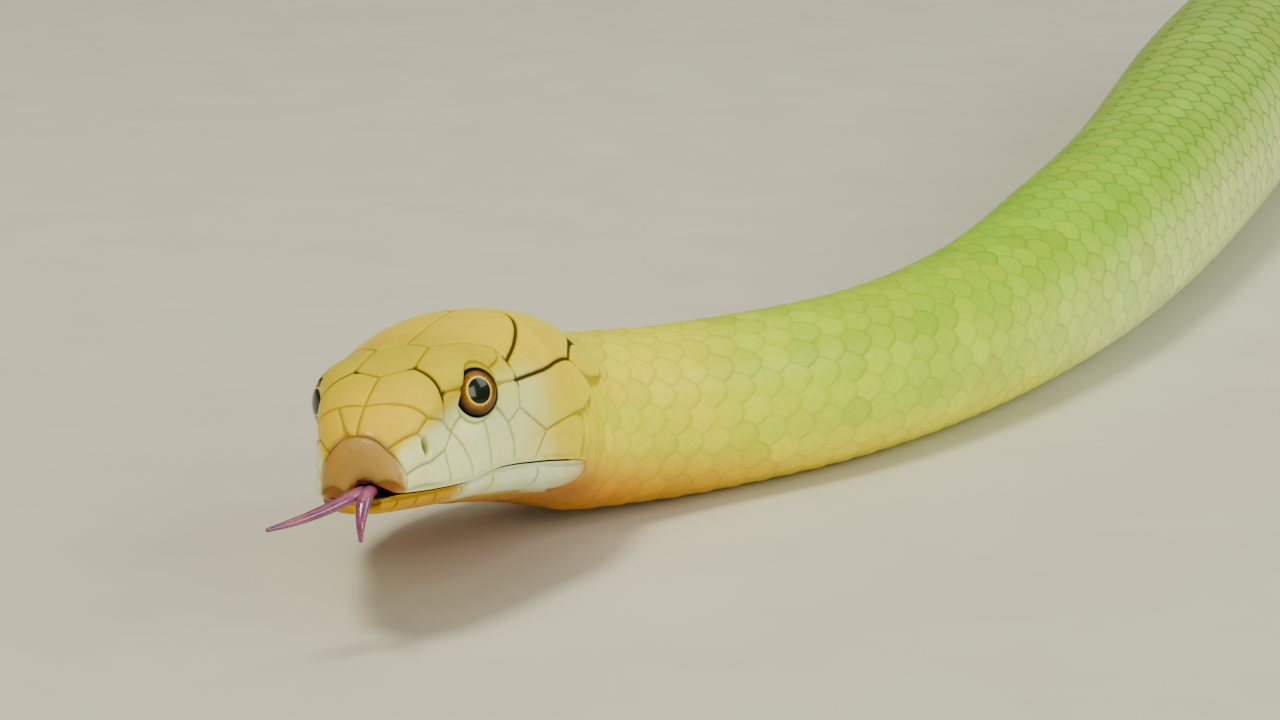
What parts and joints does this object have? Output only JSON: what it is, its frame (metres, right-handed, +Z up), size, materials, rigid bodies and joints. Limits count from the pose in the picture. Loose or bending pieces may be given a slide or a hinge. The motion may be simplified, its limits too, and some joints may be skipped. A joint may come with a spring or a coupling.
{
  "type": "king cobra, life-size model",
  "caption": "King cobra lying in loose curves on the floor, head just raised and turned to the camera's left, forked tongue out.",
  "frame": {"origin": "middle of the whole snake's bounding box, on the floor", "axes": "+Z up, +X to the right as the picture sees the snake, +Y away from the picture's camera"},
  "size_m": [0.9591, 0.6528, 0.0543],
  "materials": {
    "head_shields": "smooth glossy shields, golden ochre, paler at the lips",
    "lip_and_throat": "smooth scales, cream lips over an ochre throat",
    "eye": "wet, orange-brown iris and round black pupil",
    "tongue": "wet, purple",
    "neck_skin": "smooth overlapping scales, bright yellow",
    "body_skin": "smooth overlapping scales, yellow-green in front, olive-brown with pale bands behind, pale belly"
  },
  "bodies": {
    "root": {"head": "head_shields", "jaw": "lip_and_throat", "eye_left": "eye", "eye_right": "eye", "tongue": "tongue", "neck": "neck_skin", "body_1": "body_skin", "body_2": "body_skin", "body_3": "body_skin", "body_4": "body_skin", "body_5": "body_skin", "body_6": "body_skin", "body_7": "body_skin", "body_8": "body_skin", "tail_1": "body_skin", "tail_2": "body_skin"}
  },
  "joints": []
}
